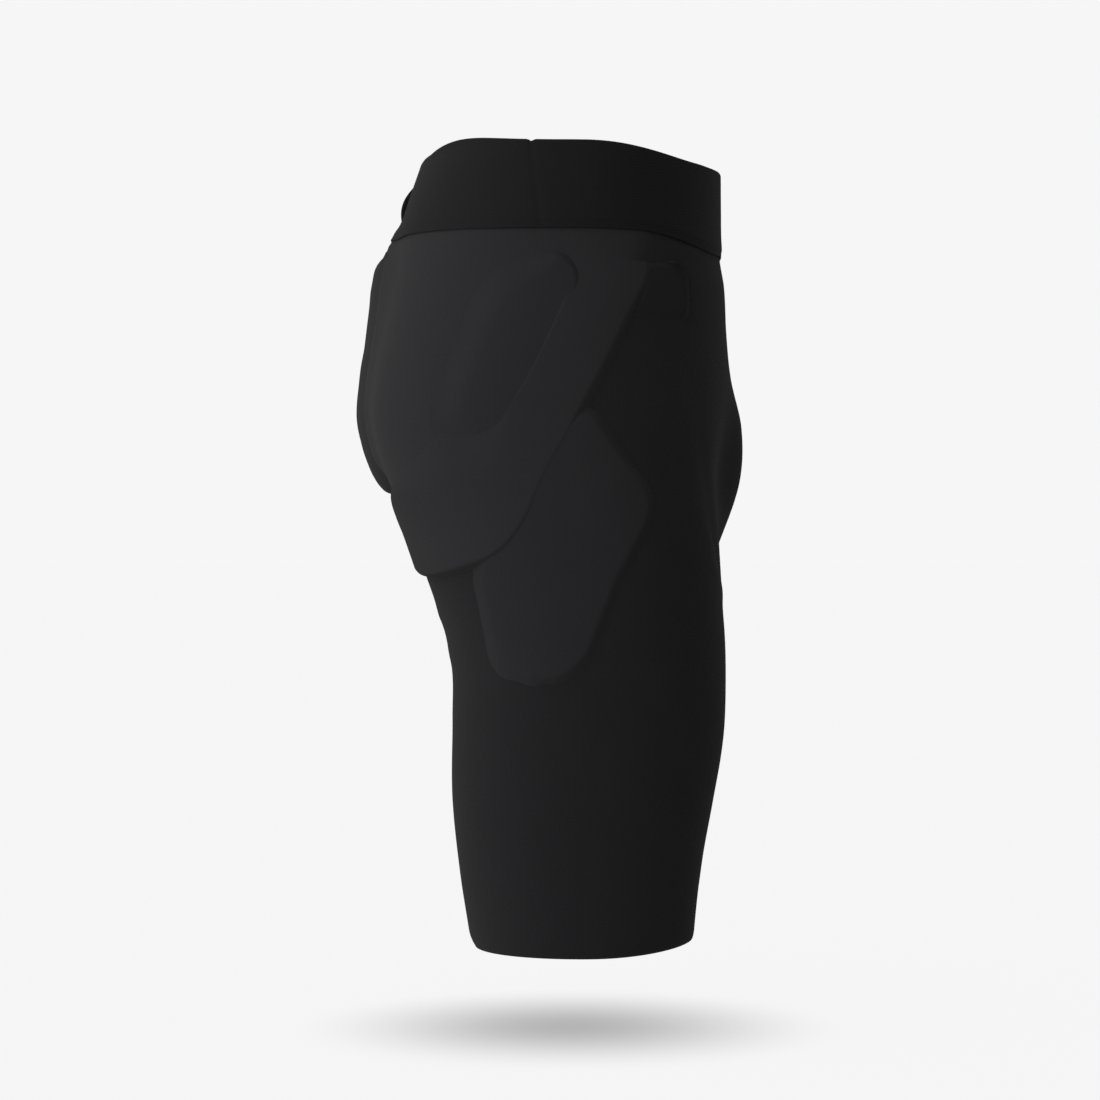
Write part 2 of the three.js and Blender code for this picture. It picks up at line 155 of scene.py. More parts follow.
# Outer face of the cloth on the right half. Each quarter of the girth is a quarter of a superellipse,
# |x/a|^n + |y/b|^n = 1: front (girth 0) to side (1), to back (2), to the inner side (3) and round.
# The pouch adds its depth * a smooth step forwards * exp(-(x / half its width)^2).
def facePoint(level, girth):
    level, girth = np.broadcast_arrays(np.asarray(level, float), np.asarray(girth, float))
    section = sectionAt(dropOf(level))
    turn = np.mod(girth, 4)
    quarter = np.minimum(np.floor(turn), 3).astype(int)
    angle = (turn - quarter) * np.pi / 2
    corner = np.choose(quarter, [np.full(level.shape, form["sideCorner"])] * 2
                       + [section["backCorner"], section["frontCorner"]])
    falling = np.abs(np.cos(angle)) ** (2 / corner)
    rising = np.abs(np.sin(angle)) ** (2 / corner)
    near = np.choose(quarter, [section["frontAt"], section["backAt"],
                               section["backAt"], section["frontAt"]])
    far = np.where(quarter < 2, section["side"], section["inner"])
    deep = np.where((quarter == 0) | (quarter == 3), section["front"], section["back"])
    across = np.where(quarter % 2 == 0, rising, falling)
    along = np.where(quarter % 2 == 0, falling, rising)
    x = near + (far - near) * across
    y = section["middle"] + (deep - section["middle"]) * along
    forward = smoothStep((section["middle"] - y) / form["pouchBlend"])
    y = y - section["pouch"] * forward * np.exp(-(x / (form["pouchWidth"] / 2)) ** 2)
    return np.stack([x, y, level], -1)


normalStep = 0.02  # of girth, for the differences below


def faceNormal(level, girth):  # cross product of the two central differences
    around = facePoint(level, girth + normalStep) - facePoint(level, girth - normalStep)
    up = facePoint(level + mm, girth) - facePoint(level - mm, girth)
    normal = np.cross(up, around)
    return normal / np.linalg.norm(normal, axis=-1, keepdims=True)


def liftedPoint(level, girth, lift):  # point of the face + unit normal * lift
    level, girth, lift = np.broadcast_arrays(np.asarray(level, float), girth, lift)
    return facePoint(level, girth) + faceNormal(level, girth) * lift[..., None]


# The girths at which the tube crosses the mid-plane; on a leg they are -1 and 3. The front one lies
# arccos(share^(n/2)) past -1, the back one arcsin(share^(n/2)) past 2, both in quarter turns.
def seamGirths(level):
    section = sectionAt(dropOf(level))
    reach = np.maximum(section["inner"], 0)
    frontShare = np.clip(-section["frontAt"] / (reach - section["frontAt"]), 0, 1)
    backShare = np.clip(-section["backAt"] / (reach - section["backAt"]), 0, 1)
    front = -1 + np.arccos(frontShare ** (section["frontCorner"] / 2)) / (np.pi / 2)
    back = 2 + np.arcsin(backShare ** (section["backCorner"] / 2)) / (np.pi / 2)
    onLeg = level <= crotchLevel
    return np.where(onLeg, -1, front), np.where(onLeg, 3, back)


def rearShare(girth):  # smooth step from the side, 0, to the back, 1
    return np.where(girth < 2, smoothStep(girth - 1), 1.0)


def frontShare(girth):  # smooth step from the sides, 0, to the front, 1
    return np.where(girth < 2, smoothStep(1 - np.abs(girth)), smoothStep(girth - 3))


def backGirth(level, x):  # the girth at a signed x on the back: arcsin or arccos of share^(n/2)
    section = sectionAt(dropOf(level))
    innerShare = np.clip((x - section["backAt"]) / (section["inner"] - section["backAt"]), 0, 1)
    outerShare = np.clip((x - section["backAt"]) / (section["side"] - section["backAt"]), 0, 1)
    inner = 2 + np.arcsin(innerShare ** (section["backCorner"] / 2)) / (np.pi / 2)
    outer = 1 + np.arccos(outerShare ** (form["sideCorner"] / 2)) / (np.pi / 2)
    return np.where(x > section["backAt"], inner, outer)


def backPoint(level, x, lift):  # over the seat at a signed x, straight across between the buttocks
    level, x, lift = np.broadcast_arrays(np.asarray(level, float), x, lift)
    section = sectionAt(dropOf(level))
    reach = np.maximum(np.abs(x), -section["backAt"])
    point = liftedPoint(level, backGirth(level, -reach), lift)
    sideways = np.where(reach > np.abs(x), x, np.where(x > 0, -point[..., 0], point[..., 0]))
    return np.stack([sideways, point[..., 1], point[..., 2]], -1)


# Meshes from grids

def gridFaces(rows, columns, start=0):  # quads of a rows x columns grid of points
    corner = (np.arange(rows - 1)[:, None] * columns + np.arange(columns - 1)).ravel() + start
    return np.stack([corner, corner + 1, corner + 1 + columns, corner + columns], -1)


def wrapFaces(rows, columns, start=0):  # quads that join the last point of each row to its first
    last = np.arange(rows - 1) * columns + columns - 1 + start
    return np.stack([last, last + 1 - columns, last + 1, last + columns], -1)


weldDistance = 0.01 * mm


def weldMesh(mesh):  # join points that lie on each other and turn every face outwards
    work = bmesh.new()
    work.from_mesh(mesh)
    bmesh.ops.remove_doubles(work, verts=work.verts, dist=weldDistance)
    bmesh.ops.dissolve_degenerate(work, edges=work.edges, dist=weldDistance)
    bmesh.ops.recalc_face_normals(work, faces=work.faces)
    work.to_mesh(mesh)
    work.free()


def addMesh(name, points, faces, uv, **shares):  # shares are named values, one for each point
    mesh = bpy.data.meshes.new(name)
    mesh.vertices.add(len(points))
    mesh.vertices.foreach_set("co", np.asarray(points, np.float32).ravel())
    mesh.loops.add(faces.size)
    mesh.loops.foreach_set("vertex_index", faces.ravel().astype(np.int32))
    mesh.polygons.add(len(faces))
    starts = np.arange(0, faces.size, faces.shape[1], dtype=np.int32)
    mesh.polygons.foreach_set("loop_start", starts)
    mesh.update(calc_edges=True)
    layer = mesh.uv_layers.new(name="cloth")
    layer.data.foreach_set("uv", np.asarray(uv, np.float32)[faces.ravel()].ravel())
    for share, values in shares.items():
        attribute = mesh.attributes.new(share, "FLOAT", "POINT")
        attribute.data.foreach_set("value", values.astype(np.float32))
    weldMesh(mesh)
    mesh.polygons.foreach_set("use_smooth", np.ones(len(mesh.polygons), bool))
    piece = bpy.data.objects.new(name, mesh)
    scene.collection.objects.link(piece)
    return piece


def rideRoot(piece, slot, *nodes):  # the whole garment is one body
    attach(piece, "root")
    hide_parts(*nodes)


# Pads. Each is a row of rungs from its top to its low end, a rung running from the pad's front border to
# its rear border: frontGirth, frontDrop, rearGirth, rearDrop. Each border has the width in mm over which
# the face rises, and how softly, 0 crisp to 1 stretched over. taper is the share of the thickness left at
# the front and the rear border, flat what the middle gives up. A width or a share that changes on the way
# down is written as (way down, value) pairs.
hipPad = {
    "thickness": 9 * mm,
    "borders": {
        "front": (((0, 6), (0.5, 7), (0.75, 5), (1, 4)), 0.8),
        "rear": (((0, 4), (0.4, 7), (0.55, 36), (0.7, 26), (0.84, 10), (1, 13)), 0.7),
        "top": (40, 1),
        "low": (12, 0.6),
    },
    "taper": {
        "front": ((0, 0.34), (0.5, 0.34), (0.8, 0.5), (1, 0.66)),
        "rear": ((0, 0.42), (0.6, 0.42), (1, 0.66)),
    },
    "flat": 0.0,
    "rungs": [
        [0.7, 0.215, 0.985, 0.222],
        [0.68, 0.275, 0.995, 0.295],
        [0.775, 0.388, 1.055, 0.405],
        [0.865, 0.498, 1.12, 0.495],
        [0.96, 0.598, 1.2, 0.56],
        [1.07, 0.722, 1.31, 0.597],
        [1.18, 0.818, 1.44, 0.62],
        [1.32, 0.877, 1.57, 0.66],
        [1.55, 0.907, 1.745, 0.692],
        [1.8, 0.917, 1.905, 0.724],
        [1.97, 0.893, 2.02, 0.78],
    ],
}
upperPad = {
    "thickness": 11.5 * mm,
    "borders": {"front": (5, 0.5), "rear": (28, 1), "top": (13, 0.9), "low": (34, 1)},
    "taper": {"front": 0.24, "rear": 0.26},
    "flat": -0.14,
    "rungs": [  # the front border and the low end run on under the hip pad
        [1.05, 0.225, 1.15, 0.228],
        [0.985, 0.248, 1.25, 0.258],
        [0.945, 0.3, 1.32, 0.31],
        [0.98, 0.395, 1.37, 0.395],
        [1.035, 0.475, 1.415, 0.475],
        [1.09, 0.55, 1.445, 0.55],
        [1.16, 0.62, 1.45, 0.605],
        [1.26, 0.67, 1.4, 0.66],
    ],
}
thighPad = {
    "thickness": 8.5 * mm,
    "borders": {"front": (7, 0.8), "rear": (16, 1), "top": (10, 1), "low": (9, 0.8)},
    "taper": {"front": 0.34, "rear": 0.32},
    "flat": 0.0,
    "rungs": [  # the rear border of the upper part runs on under the hip pad
        [0.905, 0.557, 1.0, 0.55],
        [0.84, 0.619, 1.08, 0.605],
        [0.77, 0.671, 1.14, 0.65],
        [0.705, 0.71, 1.2, 0.7],
        [0.672, 0.75, 1.27, 0.75],
        [0.7, 0.8, 1.36, 0.805],
        [0.775, 0.858, 1.44, 0.865],
        [0.86, 0.925, 1.495, 0.93],
        [0.925, 0.995, 1.51, 1.0],
        [0.97, 1.065, 1.515, 1.06],
        [1.005, 1.125, 1.5, 1.125],
        [1.075, 1.175, 1.44, 1.175],
        [1.18, 1.204, 1.34, 1.204],
    ],
}
frontPad = {
    "thickness": 2.6 * mm,
    "borders": {"front": (1.6, 0), "rear": (6, 1), "top": (7, 0.8), "low": (16, 1)},
    "taper": {"front": 0.5, "rear": 0.6},
    "flat": 0.1,
    "ridge": 1.8 * mm,  # a rolled seam along the front border
    "ridgeInset": 2 * mm,
    "ridgeWidth": 0.9 * mm,
    "rungs": [
        [0.61, 0.243, 0.68, 0.244],
        [0.555, 0.25, 0.72, 0.252],
        [0.522, 0.27, 0.735, 0.275],
        [0.508, 0.31, 0.745, 0.312],
        [0.512, 0.365, 0.79, 0.365],
        [0.55, 0.392, 0.78, 0.397],
    ],
}
tailTaper = ((0, 1), (0.3, 1), (0.42, 0.87), (0.58, 0.84), (0.72, 0.75), (1, 0.73))
tailPad = {  # its front and rear borders are its right and left sides
    "thickness": 13.6 * mm,
    "width": 96 * mm,
    "borders": {"front": (40, 0.1), "rear": (40, 0.1), "top": (14, 0.2), "low": (16, 1)},
    "taper": {"front": tailTaper, "rear": tailTaper},
    "flat": -0.15,
    "skirt": 7 * mm,  # the cloth is stretched over from this high on the pad's sides
    "skirtWidth": 34 * mm,
    "skirtTop": 0.12,  # the drop at which that begins
    "skirtFade": (0.08, 0.12),  # the drop that it takes to come, and to go at the low end
    "sink": ((0, 0.6), (0.35, 1.2), (0.6, 2.5), (0.8, 5), (1, 8)),  # its sides reach into the seat's dip
    "rungs": [  # drop, half width as a share
        [0.192, 0.62],
        [0.205, 0.88],
        [0.27, 0.98],
        [0.42, 1.0],
        [0.55, 0.96],
        [0.645, 0.84],
        [0.72, 0.6],
        [0.76, 0.3],
    ],
}


def tailSkirt(drop, x):  # height * (1 - way out from the pad's side)^2, faded at both ends
    drops, halfWidths = np.transpose(tailPad["rungs"])
    side = np.interp(drop, drops, halfWidths) * tailPad["width"] / 2
    out = (np.abs(x) - side) / tailPad["skirtWidth"]
    comes, goes = tailPad["skirtFade"]
    window = smoothStep((drop - tailPad["skirtTop"]) / comes) * smoothStep((drops[-1] - drop) / goes)
    return tailPad["skirt"] * window * (1 - np.clip(out, 0, 1)) ** 2


# Shorts body: one cloth shell, both legs in one piece
cloth = {
    "wall": 1.6 * mm,
    "overlap": 14 * mm,  # runs up inside the band
    "hemFrontRise": 5 * mm,
    "hemTuck": 2.4 * mm,  # the hem draws in towards its edge
    "hemTuckHeight": 10 * mm,
    "rearStand": 2.2 * mm,  # the waist stands this far off the back
    "standFrom": -27 * mm,  # the level at which it starts to
    "standOver": 36 * mm,  # the height that it takes
    "smoothFrom": 8 * mm,  # this far below the band the folds start to fade
    "smoothOver": 6 * mm,
    "ease": 0.15 * mm,  # height of the slow waves
    "girthSpan": 135 * mm,  # cloth in one quarter of the girth
    "hemCrowd": 1.25,  # how much the rows crowd at the hem
    "pelvisRows": 84,
    "legRows": 62,
    "columns": 132,
}
clothTop = topLevel - form["bandHeight"] + cloth["overlap"]

# shallow folds of the cloth: girth, drop, lean of the fold from level (degrees), length, width and
# height (mm)
foldTable = np.array([
    [0.30, 0.70, 68, 60, 7, -0.9],  # groin crease
    [0.22, 0.84, 60, 34, 5, -0.7],
    [0.10, 0.93, 30, 26, 4, 0.6],
    [-0.30, 0.97, 20, 26, 4, 0.7],
    [-0.55, 1.06, 12, 30, 5, 0.6],
    [-0.70, 1.20, 8, 34, 6, 0.5],
    [2.30, 0.93, -24, 40, 5, 0.9],  # under the buttock
    [2.15, 1.02, -16, 40, 6, 0.7],
    [2.45, 1.12, -10, 34, 6, 0.5],
    [1.90, 1.10, -12, 34, 6, 0.5],
    [1.55, 0.20, 4, 60, 5, 0.5],  # below the band
    [0.45, 0.22, -8, 46, 5, 0.6],
    [0.36, 0.29, -12, 40, 5, 0.4],
    [1.30, 1.86, 5, 60, 8, 0.3],  # above the hem
    [0.40, 1.80, -6, 50, 8, 0.3],
    [1.60, 0.55, 62, 36, 20, -1.6],  # hollow between tailbone pad and hip pad
])


def foldLift(level, girth):  # each fold is a ridge: height * exp(-(along/length)^2 - (across/width)^2)
    lift = np.zeros(np.broadcast(level, girth).shape)
    for middle, drop, lean, length, width, height in foldTable:
        u = (np.mod(girth - middle + 2, 4) - 2) * cloth["girthSpan"]
        v = level - levelOf(drop)
        cosine, sine = np.cos(np.radians(lean)), np.sin(np.radians(lean))
        along = (u * cosine + v * sine) / (length * mm)
        across = (v * cosine - u * sine) / (width * mm)
        lift = lift + height * mm * np.exp(-along**2 - across**2)
    return lift


def waveSum(waves, u, v):  # sum of share * sin(a u + b v + start)
    return sum(share * np.sin(a * u + b * v + start) for share, a, b, start in waves)


easeWaves = ((1, 3, 31, 0), (1, 5, -53, 1.3), (0.7, 2, 87, 0.4))  # share, turns round, per metre up, start


def easeLift(level, girth):  # very slow waves of the cloth
    return cloth["ease"] * waveSum(easeWaves, girth * np.pi / 2, level)


# the rear panel, in which the rear pads are set; the cloth is painted paler over it, partly a paler cloth,
# partly painted light from behind
panel = {
    # its front edge, drop and girth, runs under the hip pad
    "edge": ((0.19, 0.62), (0.25, 0.7), (0.44, 1.0), (0.53, 1.02), (0.6, 1.1), (0.67, 1.2), (0.75, 1.35)),
    "edgeFade": ((0.22, 0.14), (0.3, 0.04)),  # drop, and the girth over which the edge fades
    "low": 0.76,  # drop of its lower edge at the side
    "lowRear": 0.06,  # and how much lower it is at the back
    "lowFade": 0.03,
}


def litRearPanel(level, girth):  # smooth step past the front edge * smooth step above the lower edge
    drop = dropOf(level)
    frontLine = np.interp(drop, *np.transpose(panel["edge"]))
    fade = np.interp(drop, *np.transpose(panel["edgeFade"]))
    lowLine = panel["low"] + panel["lowRear"] * smoothStep((girth - 1.5) / 0.5)
    return smoothStep((girth - frontLine) / fade) * smoothStep((lowLine - drop) / panel["lowFade"])


def rearCorner(girth):  # smooth step from girth 1.3, behind the side, to 1.9, near the middle of the back
    return smoothStep((girth - 1.3) / 0.6)


def rearStand(level, girth):  # depth * smooth step upwards * smooth step round
    rear = np.where((girth > 1) & (girth < 3), rearCorner(girth), 0)
    return cloth["rearStand"] * rear * smoothStep((level - cloth["standFrom"]) / cloth["standOver"])


def rearLift(level, girth):  # the tailbone pad's skirt + the waist's stand off the back
    skirt = tailSkirt(dropOf(level), facePoint(level, girth)[..., 0])
    return np.where(girth > 1, skirt, 0) + rearStand(level, girth)


def clothLift(level, girth):  # folds and waves below the band + rear lift - tuck * (1 - way up the hem)^2
    folds = foldLift(level, girth) + easeLift(level, girth)
    belowBand = topLevel - form["bandHeight"] - level
    hidden = smoothStep((cloth["smoothFrom"] - belowBand) / cloth["smoothOver"])
    up = np.clip((level - hemLevel) / cloth["hemTuckHeight"], 0, 1)
    return folds * (1 - hidden) + rearLift(level, girth) - cloth["hemTuck"] * (1 - up) ** 2


def makeCloth():  # the right half from seam to seam and down to the hem, its mirror, and a wall inwards
    t = np.linspace(1, 0, cloth["pelvisRows"])
    pelvis = crotchLevel + (clothTop - crotchLevel) * t**2 * (1.5 - 0.5 * t)  # rows crowd at the crotch
    down = 1 - (1 - np.linspace(0, 1, cloth["legRows"] + 1)[1:]) ** cloth["hemCrowd"]
    across = np.linspace(0, 1, cloth["columns"])
    frontSeam, backSeam = seamGirths(np.concatenate([pelvis, np.full(len(down), hemLevel)]))
    girth = frontSeam[:, None] + (backSeam - frontSeam)[:, None] * across
    hem = hemLevel + cloth["hemFrontRise"] * frontShare(girth[len(pelvis):])
    legs = crotchLevel + (hem - crotchLevel) * down[:, None]
    level = np.vstack([np.repeat(pelvis[:, None], len(across), 1), legs])
    points = liftedPoint(level, girth, clothLift(level, girth))
    points[:len(pelvis), [0, -1], 0] = 0  # the pelvis is joined on the mid-plane
    leg = slice(len(pelvis) - 1, None)
    points[leg, -1] = points[leg, 0]  # a leg's last column is its first
    rows, columns = girth.shape
    points = points.reshape(-1, 3)
    faces = np.vstack([gridFaces(rows, columns), gridFaces(rows, columns, len(points))[:, ::-1]])
    uv = np.stack([girth * cloth["girthSpan"], level], -1).reshape(-1, 2)
    # share of the rear panel, whose paler tone is partly painted light from behind
    litPanelShare = litRearPanel(level, girth).ravel()
    piece = addMesh("shorts_cloth", np.vstack([points, points * [-1, 1, 1]]), faces,
                    np.vstack([uv, uv]), panel=np.concatenate([litPanelShare, litPanelShare]))
    shell = piece.modifiers.new("wall", "SOLIDIFY")
    shell.thickness = cloth["wall"]
    shell.offset = -1
    rideRoot(piece, "stretch_cloth", "shorts_body")
    return piece


clothPiece = makeCloth()
print("cloth body made")


# Waistband: a ring of elastic whose closed profile runs up its outer face and down its inner face
band = {
    "wall": 2.2 * mm,
    "gap": 0.3 * mm,  # between the cloth and the band
    "rearRise": 13 * mm,
    "rearDip": 14.5 * mm,  # of the upper edge, round the corner of the back
    "rearLift": 4 * mm,  # of the lower edge
    # how each edge falls towards the front: depth, the girth where that starts, the girth that it takes,
    # the share that comes back before the middle, and the girth where that starts
    "topFall": (7.5 * mm, 0.93, 0.5, 0.27, 0.35),
    "footFall": (7.8 * mm, 0.75, 0.45, 0.35, 0.3),
    "seamGirth": (1.065, 1.12),  # foot and head of the joining seam, at the wearer's right side
    "seamWidth": 1.35 * mm,
    "seamDepth": 0.35 * mm,
    "seamNotch": 1.3 * mm,
    "sewnDown": 1.1 * mm,  # the stitches draw the lower edge in
    "sewnHeight": 5 * mm,
    "waves": ((0.25 * mm, 9, 60, 0),),  # height, per girth, per metre up, start
    "around": 220,
    "upFace": 26,
    "edgeSteps": 6,
}


def frontFall(girth, fall):  # depth * (smooth step forwards - share * smooth step near the middle)
    depth, start, span, share, backStart = fall
    return depth * (smoothStep((start - girth) / span) - share * smoothStep((backStart - girth) / 0.3))


def bandTop(girth):  # top + rise at the back - dip at its corner - fall towards the front
    rise = band["rearRise"] - band["rearDip"] * rearCorner(girth)
    return topLevel + rise * rearShare(girth) - frontFall(girth, band["topFall"])


def bandFoot(girth):  # top - height + lift at the back - fall towards the front
    foot = topLevel - form["bandHeight"] + band["rearLift"] * rearShare(girth)
    return foot - frontFall(girth, band["footFall"])


# Share of the height, share of the wall, and what the half-round edges add, round a slab from its foot:
# up the outer face, over the top, down the inner face and round below.
def bandProfile():
    face = np.linspace(0, 1, band["upFace"])
    zero, one = np.zeros_like(face), np.ones_like(face)
    turn = np.linspace(-np.pi / 2, np.pi / 2, band["edgeSteps"] + 2)[1:-1]
    sine, cosine = 0.5 * np.sin(turn), 0.5 * np.cos(turn)
    outer = np.stack([face, one, zero], -1)
    top = np.stack([np.ones_like(turn), 0.5 - sine, cosine], -1)
    inner = np.stack([face[::-1], zero, zero], -1)
    below = np.stack([np.zeros_like(turn), 0.5 + sine, -cosine], -1)
    return np.vstack([outer, top, inner, below])


# The right half, side 1, or the left, -1: level = foot + height * share up, lift = gap + wall * share
# outwards. Only the right half has the joining seam, a groove of depth * exp(-(way from it / width)^2).
def bandHalf(side):
    up, outward, rounding = bandProfile().T
    frontSeam, backSeam = seamGirths(np.array([0.0]))
    share = np.linspace(0, 1, band["around"])[:, None]
    girth = np.repeat(frontSeam + (backSeam - frontSeam) * share, len(up), 1)
    low = bandFoot(girth) + band["wall"] / 2
    high = bandTop(girth) - band["wall"] / 2
    level = low + (high - low) * up + rounding * band["wall"]
    sewn = band["sewnDown"] * (1 - smoothStep((level - low) / band["sewnHeight"]))
    lift = band["gap"] + (band["wall"] - sewn) * outward + rearLift(level, girth)
    if side == 1:
        foot, head = band["seamGirth"]
        fromSeam = (girth - foot - (head - foot) * up) * cloth["girthSpan"]
        groove = np.exp(-(fromSeam / band["seamWidth"]) ** 2)
        lift = lift - band["seamDepth"] * groove * outward
        level = level - band["seamNotch"] * groove * smoothStep(up * 4 - 3)  # in the top quarter
    lift = lift + waveSum(band["waves"], girth, level) * outward
    points = liftedPoint(level, girth, lift)
    points[[0, -1], :, 0] = 0  # both ends of a half lie on the mid-plane
    points[..., 0] *= side
    return points, np.stack([girth * cloth["girthSpan"], level], -1)


def makeBand():  # the two halves, joined front and back
    halves = [bandHalf(side) for side in (1, -1)]
    rows, columns = halves[0][0].shape[:2]
    faces = [np.vstack([gridFaces(rows, columns, start), wrapFaces(rows, columns, start)])[:, ::flip]
             for start, flip in ((0, 1), (rows * columns, -1))]
    points = np.vstack([half.reshape(-1, 3) for half, uv in halves])
    uv = np.vstack([uv.reshape(-1, 2) for half, uv in halves])
    piece = addMesh("waistband_elastic", points, np.vstack(faces), uv)
    rideRoot(piece, "elastic_band", "waistband")
    return piece


bandPiece = makeBand()
print("waistband made")


# how every pad is made
padMake = {
    "rows": 110,
    "columns": 72,
    "crowd": 0.6,  # how far rows and columns are drawn towards the borders
    "sink": 0.5,  # mm that a border starts inside the cloth's wall
    "under": 0.5 * mm,  # the underside lies this far below that
    "waves": ((0.015, 17, 23, 0), (0.01, -11, 41, 0.8)),  # share, per girth, per drop, start
    "fill": 0.7,
}


def alongRungs(rungs, share):  # Catmull-Rom curve through the rows, share 0 at the first and 1 at the last
    rungs = np.asarray(rungs, float)
    padded = np.vstack([2 * rungs[0] - rungs[1], rungs, 2 * rungs[-1] - rungs[-2]])
    spot = share * (len(rungs) - 1)
    row = np.minimum(spot.astype(int), len(rungs) - 2)
    t = (spot - row)[:, None]
    a, b, c, d = (padded[row + step] for step in range(4))
    return 0.5 * (2 * b + (c - a) * t + (2 * a - 5 * b + 4 * c - d) * t**2 + (3 * b - a - 3 * c + d) * t**3)


def crowdedShares(count):  # even steps t mixed with (1 - cos(pi t)) / 2, which draws them to both ends
    even = np.linspace(0, 1, count)
    return even + padMake["crowd"] * ((1 - np.cos(np.pi * even)) / 2 - even)


def distanceTo(points, line):  # shortest way from each point to a row of short segments
    start, along = line[:-1], np.diff(line, axis=0)
    size = np.maximum((along**2).sum(-1), 1e-16)
    offset = points[:, None] - start
    share = np.clip((offset * along).sum(-1) / size, 0, 1)
    return np.linalg.norm(offset - share[..., None] * along, axis=-1).min(1)


def risingBorder(distance, width, softness):  # crisp is 1 - (1 - d/width)^3, soft is a smooth step
    share = np.clip(distance / width, 0, 1)
    return (1 - softness) * (1 - (1 - share) ** 3) + softness * smoothStep(share)


def onWay(value, down):  # one value, or (way down, value) pairs joined by straight lines
    return np.interp(down, *np.transpose(value))[:, None] if np.ndim(value) else value


# Point of the rungs' surface + normal * lift. The lift rises from the sunk border to thickness * crown by
# the product of the four rising borders, and an underside closes the pad.
def makePad(name, pad, place, rungs, node, mirrored=False):
    rows, columns = padMake["rows"], padMake["columns"]
    down, across = crowdedShares(rows), crowdedShares(columns)
    ends = alongRungs(rungs, down)
    u = ends[:, :1] + (ends[:, 2:3] - ends[:, :1]) * across
    v = ends[:, 1:2] + (ends[:, 3:4] - ends[:, 1:2]) * across
    base = place(u, v, np.zeros_like(u))
    edges = {"front": base[:, 0], "rear": base[:, -1], "top": base[0], "low": base[-1]}
    inset = {side: distanceTo(base.reshape(-1, 3), edge).reshape(u.shape) for side, edge in edges.items()}
    height = np.ones_like(u)
    for side, (width, softness) in pad["borders"].items():
        height = height * risingBorder(inset[side], onWay(width, down) * mm, softness)
    front, rear = (onWay(pad["taper"][side], down) for side in ("front", "rear"))
    crown = front + (rear - front) * across - pad["flat"] * np.sin(np.pi * across)
    full = pad["thickness"] * crown * (1 + waveSum(padMake["waves"], u, v))
    start = -onWay(pad.get("sink", padMake["sink"]), down) * mm
    if "skirt" in pad:
        start = start + tailSkirt(v, base[..., 0])
    lift = start + (full - start) * height
    if "ridge" in pad:
        fromRidge = (inset["front"] - pad["ridgeInset"]) / pad["ridgeWidth"]
        lift = lift + pad["ridge"] * np.exp(-fromRidge**2) * height
    under = start - padMake["under"] * height
    points = np.vstack([place(u, v, way).reshape(-1, 3) for way in (lift, under)])
    faces = np.vstack([gridFaces(rows, columns), gridFaces(rows, columns, rows * columns)[:, ::-1]])
    step = np.linalg.norm(np.diff(base, axis=1), axis=-1)
    width = np.concatenate([np.zeros((rows, 1)), np.cumsum(step, axis=1)], 1)
    uv = np.stack([width - width[:, -1:] / 2, base[..., 2]], -1).reshape(-1, 2)
    if mirrored:
        points = points * [-1, 1, 1]
        faces = faces[:, ::-1]
    piece = addMesh(name, points, faces, np.vstack([uv, uv]))
    rideRoot(piece, "pad_cover", node)
    return piece


def onSide(girth, drop, lift):  # a place on the side of the tube
    return liftedPoint(levelOf(drop), girth, lift)


def onSeat(share, drop, lift):  # a place over the seat, at a share of half the tailbone pad's width
    return backPoint(levelOf(drop), share * tailPad["width"] / 2, lift)


padPieces = []
sidePads = {"hip_pad": hipPad, "upper_hip_pad": upperPad, "thigh_pad": thighPad, "front_hip_pad": frontPad}
for side, mirrored in (("right", False), ("left", True)):
    for name, pad in sidePads.items():
        node = f"{name}_{side}"
        padPieces.append(makePad(f"{node}_cover", pad, onSide, pad["rungs"], node, mirrored))
tailRungs = [[-share, drop, share, drop] for drop, share in tailPad["rungs"]]
padPieces.append(makePad("tailbone_pad_cover", tailPad, onSeat, tailRungs, "tailbone_pad"))
print("pads made")


# Loop of tape at the back of the band
loop = {
    "height": 30 * mm,
    "width": 10 * mm,
    "thickness": 5.6 * mm,  # folded tape, thick enough to close the gap to the band; its dark side stands in for the shade inside the loop
    "endShare": 0.1,  # of the thickness, left at both ends
    "drop": 7.5 * mm,
    "corners": (0.35, 0.6),  # powers that square its section off, across and through
    "steps": 60,
    "cross": 24,
}


def signedPower(value, power):  # |value|^power with the value's sign
    return np.sign(value) * np.abs(value) ** power


def makeLoop():  # a rounded slab on the back of the band, its thickness rising by sin(pi * way down)
    down = np.linspace(0, 1, loop["steps"])
    level = topLevel - loop["drop"] - loop["height"] * down
    lift = band["gap"] * 2 + band["wall"] + rearStand(level, 2.0)
    seat = backPoint(level, np.full(len(level), loop["width"] / 2), lift)
    thick = loop["thickness"] * (loop["endShare"] + (1 - loop["endShare"]) * np.sin(np.pi * down))
    middle = seat[:, 1] + thick / 2
    slopeY, slopeZ = np.gradient(middle), np.gradient(level)
    length = np.hypot(slopeY, slopeZ)
    turn = np.linspace(0, 2 * np.pi, loop["cross"], endpoint=False)
    acrossPower, throughPower = loop["corners"]
    x = loop["width"] / 2 * signedPower(np.cos(turn), acrossPower)
    depth = thick[:, None] / 2 * signedPower(np.sin(turn), throughPower)
    y = middle[:, None] - depth * (slopeZ / length)[:, None]
    z = level[:, None] + depth * (slopeY / length)[:, None]
    points = np.stack(np.broadcast_arrays(x, y, z), -1)
    head, foot = (np.repeat(ring.mean(0)[None, None], loop["cross"], 1) for ring in points[[0, -1]])
    points = np.concatenate([head, points, foot])  # the rings at both ends shrink to a point
    rows, columns = points.shape[:2]
    points = points.reshape(-1, 3)
    faces = np.vstack([gridFaces(rows, columns), wrapFaces(rows, columns)])
    piece = addMesh("back_loop_tape", points, faces, points[:, [0, 2]])
    rideRoot(piece, "webbing", "back_loop")
    return piece


loopPiece = makeLoop()
print("loop made")


